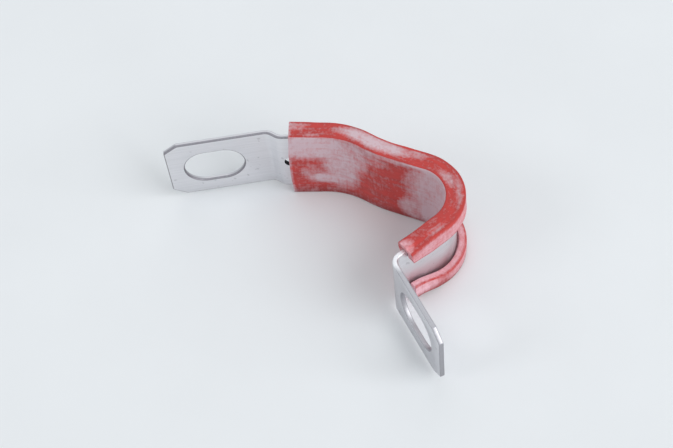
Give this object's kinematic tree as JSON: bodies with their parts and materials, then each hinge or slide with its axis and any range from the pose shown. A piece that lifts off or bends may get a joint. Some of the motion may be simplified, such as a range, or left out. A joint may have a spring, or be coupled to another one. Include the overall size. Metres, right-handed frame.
{
  "type": "cushioned p clip",
  "caption": "Cushioned p clip: a bent metal strap with a slotted lug at each end and a red silicone channel round its loop, sprung open and lying on its edge.",
  "frame": {"origin": "axis of the round part of the loop, at the cushion's lower rim, which the clip lies on", "axes": "+Z along the loop's axis and across the strap's width; -X points from the loop along lug 1 to its tip; lug 1's seat faces +Y and the clip opens towards -X and -Y"},
  "size_m": [0.0467, 0.0439, 0.0149],
  "materials": {
    "band_metal": "satin rolled stainless strip",
    "cushion_rubber": "matte red silicone with a pale dusty bloom"
  },
  "bodies": {
    "root": {"band": "band_metal", "cushion": "cushion_rubber"}
  },
  "joints": []
}
